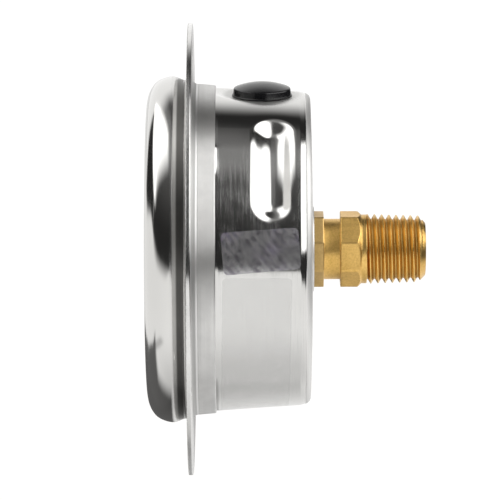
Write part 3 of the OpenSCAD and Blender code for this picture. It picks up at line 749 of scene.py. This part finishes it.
def build_socket():
    cols = 241  # the last column lies on the first, and the two are merged
    a = np.linspace(0, 2 * math.pi, cols)
    deg = np.degrees(a)
    flat = OCT / np.cos(np.radians((deg + 22.5) % 45 - 22.5))
    octa = soft_min(flat, np.full_like(flat, 7.53), 0.06)
    one = np.ones_like(a)

    def thread(d):
        u = ((deg + 360 * (d - 0.57) / PITCH) / 360) % 1.0
        w = np.abs((u + 0.5) % 1.0 - 0.5)  # 0 on the crest, 0.5 in the root
        f = 1 - np.clip((w - 0.055) / 0.375, 0, 1)
        f = soft_min(f, one * 0.985, 0.05)
        f = -soft_min(-f, -0.03 * one, 0.08)
        return T_BIG - d / 32 - T_DEEP * (1 - f)

    rows = []  # (z, radii)

    def add(z, r):
        rows.append((z, r * one if np.isscalar(r) else r))

    # block's column and inner shoulder
    for r, z in corner([(4.0, -10.4), (7.5, -10.4, 0.2), (7.5, -19.9, 0.15), (10.5, -19.9, 0.2), (10.5, -22.43, 0.15), (9.9, -22.43, 0.05),
                        (9.9, -21.2, 0.05), (8.5, -21.2, 0.05), (8.5, -22.43, 0.05), (7.66, -22.43)], False, 3):
        add(z, r)
    # first octagon
    for z, k in ((-22.46, 0.0), (-22.6, 0.0), (-23.6, 0.0), (-24.6, 0.0), (-25.3, 0.0), (-25.42, 0.02), (-25.48, 0.06), (-25.5, 0.12)):
        add(z, octa - k)
    for r, z in corner([(6.9, -25.5), (GROOVE, -25.5, 0.12), (GROOVE, -28.75, 0.12), (6.9, -28.75)], False, 4):
        add(z, r)
    # second octagon, its corners turned off at 45 degrees
    add(-28.75, octa - 0.12)
    for z in np.concatenate([[-28.77, -28.83], np.linspace(-28.95, -31.5, 8), np.linspace(-31.6, -32.83, 36)]):
        edge = 0.06 if z > -28.8 else (0.02 if z > -28.9 else 0.0)
        add(z, soft_min(octa - edge, one * (SHOULDER + (z + 32.85)), 0.05))
    # shoulder and thread
    for z in (-32.9, -33.3, -33.7, -33.82):
        add(z, SHOULDER)
    add(-33.88, SHOULDER - 0.03)
    add(-33.9, SHOULDER - 0.09)
    z_end = -45.4
    # the thread's rows follow the helix, flattened at both ends
    dz, z_top, z_low = PITCH / 30, -33.92, z_end + 0.02
    for k in range(int(math.ceil((z_top + PITCH - z_low) / dz)) + 1):
        z = np.clip(z_top - k * dz + PITCH * deg / 360, z_low, z_top)
        d = T_Z1 - z
        r = soft_min(thread(np.maximum(d, 0.0)), 5.12 + (z - z_end) * 1.05, 0.04)
        add(z, np.minimum(r, SHOULDER - 0.09 + 3.0 * d))
    # nose and the bores
    for r, z in corner([(5.06, z_end), (2.75, z_end), (2.6, -45.25), (2.6, -35.05, 0.05), (1.92, -35.0, 0.05), (1.92, -31.5, 0.03),
                        (1.25, -31.5, 0.03), (1.25, -13.5)], False, 3):
        add(z, r)
    pts = np.array([np.stack([r * np.cos(a), r * np.sin(a), z * one], -1) for z, r in rows])
    n = len(rows)
    flatp = np.vstack([pts.reshape(-1, 3), [[0, 0, -10.4], [0, 0, -13.5]]])
    faces = [(i * cols + j, i * cols + j + 1, (i + 1) * cols + j + 1, (i + 1) * cols + j) for i in range(n - 1) for j in range(cols - 1)]
    p0, p1, last = n * cols, n * cols + 1, (n - 1) * cols
    faces += [(p0, j + 1, j) for j in range(cols - 1)]
    faces += [(p1, last + j, last + j + 1) for j in range(cols - 1)]
    bar = finish_mesh("socket_bar_tmp", row(flatp), faces, 32)

    def block(name, lo, hi):
        bm = bmesh.new()
        bmesh.ops.create_cube(bm, size=1.0)
        for v in bm.verts:
            v.co = Vector([lo[i] + (v.co[i] + 0.5) * (hi[i] - lo[i]) for i in range(3)])
        bmesh.ops.bevel(bm, geom=bm.edges[:], offset=0.35, segments=3, affect="EDGES", profile=0.5)
        verts = [tuple(v.co) for v in bm.verts]
        bm.verts.index_update()
        fs = [[v.index for v in f.verts] for f in bm.faces]
        bm.free()
        return finish_mesh(name, row(np.array(verts)), fs, 38)

    arms = [block("arm_a", (-5.5, -25, -17), (5.5, -4, -10.42)),
            block("arm_b", (-5.5, -25, -16.98), (5.5, -18.2, -5)),
            block("arm_c", (-11.2, 5.2, -15), (11.2, 10.8, -10.41))]
    ob = join("socket_bar", [bar] + arms)
    c = coords(ob)
    z, r = c[:, 2], np.hypot(c[:, 0], c[:, 1])
    onflat = ((z < -22) & (z > -25.4)) | ((z < -28.75) & (z > -32.85) & (r > 6.9 - 0.0) & (r < SHOULDER + (z + 32.85) - 0.03))
    point_mask(ob, "turned", np.where(onflat, 0.0, 1.0))
    threaded = smooth01((-34.0 - z) / 0.2) * smooth01((z + 44.6) / 0.3) * (r > 4.0)
    point_mask(ob, "thread", threaded)
    # the thread's roots, painted darker as shade and made rougher
    point_mask(ob, "root", threaded * smooth01(((T_BIG - (T_Z1 - z) / 32 - r) / T_DEEP - 0.28) / 0.5))
    # the first octagon and the block, painted darker as shade near the case
    point_mask(ob, "near_case_shade", smooth01((z + 25.51) / 0.05))
    point_mask(ob, "neck", smooth01((-25.5 - z) / 0.1) * smooth01((z + 28.75) / 0.1))
    return ob


dress(build_socket(), "socket_brass", node="socket")

# ---------------------------------------------------------------------------
# the tube: a curved tube of flat oval section


def build_tube():
    ang = np.radians(np.linspace(0, 263, 132))
    w, th, wall = 7.0, 2.4, 0.35

    def oval(ww, tt, n=40):
        out = []
        half = (ww - tt) / 2
        for i in range(n):
            t = 2 * math.pi * i / n
            z = tt / 2 * math.sin(t)
            out.append((tt / 2 * math.cos(t), z + (half if math.sin(t) > 1e-9 else -half if math.sin(t) < -1e-9 else 0)))
        return np.array(out)

    loops = [oval(w, th), oval(w - 2 * wall, th - 2 * wall)]
    verts, faces, n = [], [], 40
    for sec in loops:
        for t in ang:
            for q, z in sec:
                r = 21.5 + q
                verts.append((r * math.cos(t), r * math.sin(t), -9 + z))
    m, base = len(ang), len(ang) * n
    for i in range(m - 1):
        for j in range(n):
            k = (j + 1) % n
            q = (i * n + j, i * n + k, (i + 1) * n + k, (i + 1) * n + j)
            faces.append(q)
            faces.append(tuple(x + base for x in q[::-1]))
    for i in (0, m - 1):
        for j in range(n):
            k = (j + 1) % n
            faces.append((i * n + j, i * n + k, base + i * n + k, base + i * n + j))
    return finish_mesh("tube_c", row(np.array(verts)), faces)


tube = build_tube()
tube.data.materials.append(M["tube_bronze"])
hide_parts("bourdon_tube")
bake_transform(tube)

# ---------------------------------------------------------------------------
# print on the dial: a plain scale from 0 to 10

INK_Z0, INK_Z1 = 2.2, 2.225


def bar_mesh(verts, faces, p, q, width):
    """A thin flat bar from p to q on the dial."""
    p, q = np.array(p, float), np.array(q, float)
    d = (q - p) / np.linalg.norm(q - p)
    s = np.array([-d[1], d[0]]) * width / 2
    base = len(verts)
    for z in (INK_Z0, INK_Z1):
        for c in (p - s, q - s, q + s, p + s):
            verts.append((c[0], c[1], z))
    b = base
    faces += [(b + 3, b + 2, b + 1, b), (b + 4, b + 5, b + 6, b + 7)]
    faces += [(b + i, b + (i + 1) % 4, b + 4 + (i + 1) % 4, b + 4 + i) for i in range(4)]


def build_scale():
    verts, faces = [], []
    for i in range(51):
        t = math.radians(225 - 270 * i / 50)
        r0 = 22.6 if i % 5 == 0 else 23.9
        d = (math.cos(t), math.sin(t))
        bar_mesh(verts, faces, (d[0] * r0, d[1] * r0), (d[0] * 25.6, d[1] * 25.6), 0.55 if i % 5 == 0 else 0.28)
    # the scale's arc
    n = 180
    for i in range(n):
        t0, t1 = math.radians(225 - 270 * i / n), math.radians(225 - 270 * (i + 1.0) / n)
        b = len(verts)
        for z in (INK_Z0, INK_Z1):
            for r, t in ((25.5, t0), (25.9, t0), (25.9, t1), (25.5, t1)):
                verts.append((r * math.cos(t), r * math.sin(t), z))
        faces += [(b, b + 1, b + 2, b + 3), (b + 7, b + 6, b + 5, b + 4), (b, b + 4, b + 5, b + 1), (b + 3, b + 2, b + 6, b + 7)]
        if i == 0:
            faces.append((b + 1, b + 5, b + 4, b))
        if i == n - 1:
            faces.append((b + 2, b + 3, b + 7, b + 6))
    return finish_mesh("dial_scale", row(np.array(verts)), faces, 20)


def number(text, x, y, size):
    cu = bpy.data.curves.new("n", "FONT")
    cu.body, cu.size = text, size * 0.001
    cu.align_x, cu.align_y = "CENTER", "CENTER"
    cu.extrude, cu.resolution_u = 0.0000125, 8
    o = bpy.data.objects.new("n", cu)
    scene.collection.objects.link(o)
    # text is drawn in its own x, y: x stays, y goes up, and it faces the reader
    o.matrix_world = Matrix(((1, 0, 0, x * 0.001), (0, 0, -1, -(INK_Z0 + 0.0125) * 0.001), (0, 1, 0, y * 0.001), (0, 0, 0, 1)))
    bpy.context.view_layer.update()
    dg = bpy.context.evaluated_depsgraph_get()
    me = bpy.data.meshes.new_from_object(o.evaluated_get(dg))
    me.transform(o.matrix_world)
    bpy.data.objects.remove(o)
    bpy.data.curves.remove(cu)
    ob = bpy.data.objects.new("n", me)
    scene.collection.objects.link(ob)
    return ob


def build_numbers():
    obs = []
    for i in range(0, 11, 2):
        t = math.radians(225 - 27 * i)
        obs.append(number(str(i), 19.2 * math.cos(t), 19.2 * math.sin(t), 5.2))
    obs.append(number("bar", 0, -13.5, 4.2))
    return join("dial_numbers", obs)


dress(build_scale(), "dial_white", material="dial_ink")
dress(build_numbers(), "dial_white", material="dial_ink")

# ---------------------------------------------------------------------------
# CAD nodes that stay

for part in frame["record"]["subparts"]:
    ob = nodes_cad[part["node"]]
    ob.data.materials.clear()
    ob.data.materials.append(M[part["material_slot"]])

# ---------------------------------------------------------------------------
# studio: a pale floor and a soft room, written as light by direction around the part


def studio(m, vec):
    """Light from a direction: two large soft boxes left and right, a pale wall behind, a dim room in front, a pale floor."""
    d = m.n("ShaderNodeSeparateXYZ", {0: vec})
    dx, dy, dz = d.outputs[0], d.outputs[1], d.outputs[2]
    right = m.math("MULTIPLY", m.math("ARCTAN2", dy, dx), 180 / math.pi)
    left = m.math("MULTIPLY", right, -1.0)
    both = m.math("ABSOLUTE", right)
    elev = m.math("MULTIPLY", m.math("ARCSINE", dz), 180 / math.pi)

    def times(*v):
        out = v[0]
        for k in v[1:]:
            out = m.math("MULTIPLY", out, k)
        return out

    def plus(*v):
        out = v[0]
        for k in v[1:]:
            out = m.math("ADD", out, k)
        return out

    up, down = m.math("MAXIMUM", dz, 0.03), m.math("MAXIMUM", m.math("MULTIPLY", dz, -1.0), 0.03)
    u, v = m.math("DIVIDE", dx, up), m.math("DIVIDE", dy, up)  # where the ray meets a ceiling at height 1
    p, q = m.math("DIVIDE", dx, down), m.math("DIVIDE", dy, down)  # where it meets a floor 1 below
    side_l = m.math("ADD", m.math("ADD", v, 0.20),
                    m.math("MULTIPLY", m.math("MAXIMUM", m.math("SUBTRACT", -0.1, u), 0.0), 0.55))
    near_l = m.math("SUBTRACT", u, m.math("MULTIPLY", m.math("MAXIMUM", m.math("SUBTRACT", -1.0, v), 0.0), 0.2))
    box_l = times(m.ramp01(near_l, 0.55, -0.10), m.ramp01(side_l, 0.10, -0.12), m.ramp01(elev, 20.5, 27), 1.9)
    glow_l = times(m.ramp01(side_l, 0.5, 0.1), m.ramp01(u, 0.0, -0.2), m.ramp01(elev, 30, 45), 0.22)
    box_r = times(m.ramp01(v, 0.16, 0.36), m.ramp01(plus(u, times(v, 0.54)), -0.02, 0.10), m.ramp01(right, 14, 25), m.ramp01(elev, 7, 12), 2.1)
    back = times(m.math("MAXIMUM", m.ramp01(left, 139, 145), m.ramp01(right, 146, 172)), m.ramp01(elev, 58, 31), m.ramp01(elev, -7, -3), 1.05)
    over = times(m.ramp01(u, -0.37, -0.33), m.ramp01(elev, 18, 66), m.ramp01(u, -0.14, 0.05, 0.45, 1.0), 0.075)
    zenith = times(m.ramp01(u, -0.19, 0.06), m.ramp01(u, 0.55, 0.22), 0.18)
    room = plus(0.026, over, zenith, box_r, box_l, glow_l, back)
    # something dark lies on the floor, behind and to the left
    edge_p = m.math("SUBTRACT", p, m.math("MULTIPLY", m.math("MAXIMUM", m.math("SUBTRACT", -0.65, q), 0.0), 0.4))
    far_q = m.math("SUBTRACT", q, plus(m.ramp01(p, -2.2, -3.2, 0.0, 0.27), m.ramp01(p, -3.1, -4.2, 0.0, 1.08), m.ramp01(p, -1.1, 0.0, 0.0, 0.2)))
    shade = times(m.ramp01(edge_p, 0.10, -0.30), m.ramp01(p, -5.2, -4.4), m.ramp01(q, 0.04, -0.07), m.ramp01(far_q, -1.82, -1.65), 0.87)
    seam = m.math("ABSOLUTE", plus(times(p, -0.626), times(q, 0.78), 1.04))
    seam = times(m.ramp01(seam, 0.16, 0.03), m.ramp01(p, -0.1, 0.0), m.ramp01(p, 0.8, 0.6), 0.42)
    level = m.math("SUBTRACT", elev, m.math("SUBTRACT", m.ramp01(left, 20, 90, -0.5, 8.5), m.ramp01(left, 95, 142, 0.0, 12.5)))
    level = m.math("DIVIDE", level, plus(2.2, times(m.ramp01(left, 5, 25), m.ramp01(left, 88, 70), 6.0)))
    ground = times(m.ramp01(level, 0.6, -1.1), m.ramp01(q, 2.9, 2.0), m.ramp01(elev, -40, -85, 1.10, 0.78),
                   m.ramp01(both, 140, 165, 1.0, 0.82), m.ramp01(left, 15, 60, 1.0, 0.95),
                   m.math("SUBTRACT", 1.0, shade), m.math("SUBTRACT", 1.0, seam))
    value = m.math("MAXIMUM", room, ground)
    colour = m.mix(m.ramp01(value, 0.02, 0.4), (1.0, 0.985, 0.972), (1.0, 0.997, 0.988))
    seen = m.n("ShaderNodeLightPath").outputs["Is Camera Ray"]
    strength = plus(times(value, m.math("SUBTRACT", 1.0, seen)), times(seen, 1.06))
    return colour, strength


floor_me = bpy.data.meshes.new("floor")
S = 40.0
floor_me.from_pydata([(-S, -S, -0.85), (S, -S, -0.85), (S, S, -0.85), (-S, S, -0.85)], [], [(0, 1, 2, 3)])
floor = bpy.data.objects.new("floor", floor_me)
scene.collection.objects.link(floor)
fm = Mat("floor")
fdir = fm.n("ShaderNodeVectorMath", {0: fm.n("ShaderNodeNewGeometry").outputs["Position"]}, operation="NORMALIZE").outputs[0]
fcol, fstr = studio(fm, fdir)
fe = fm.n("ShaderNodeEmission", {"Color": fcol, "Strength": fstr})
fo = fm.n("ShaderNodeOutputMaterial")
fm.t.links.new(fe.outputs[0], fo.inputs[0])
floor_me.materials.append(fm.mat)

world = bpy.data.worlds.new("studio")
scene.world = world
world.use_nodes = True
w = Mat("studio", world.node_tree)
wcol, wstr = studio(w, w.n("ShaderNodeTexCoord").outputs["Generated"])
bg = w.n("ShaderNodeBackground", {"Color": wcol, "Strength": wstr})
wo = w.n("ShaderNodeOutputWorld")
w.t.links.new(bg.outputs[0], wo.inputs[0])

scene.view_settings.view_transform = "Standard"

# ---------------------------------------------------------------------------
# camera

cam = bpy.data.cameras.new("camera")
cam.sensor_width, cam.lens = 36.0, 293.9
cam.clip_start, cam.clip_end = 0.01, 200.0
eye = bpy.data.objects.new("camera", cam)
scene.collection.objects.link(eye)
aim = Vector((0.0, 0.0111, -0.00018))
el = math.radians(13.0)
eye.location = aim + Vector((math.cos(el), 0.0, math.sin(el))) * 0.8
look = (aim - eye.location).to_track_quat("-Z", "Y") @ Quaternion((0, 0, 1), math.radians(-0.12))
eye.rotation_mode = "QUATERNION"
eye.rotation_quaternion = look
scene.camera = eye
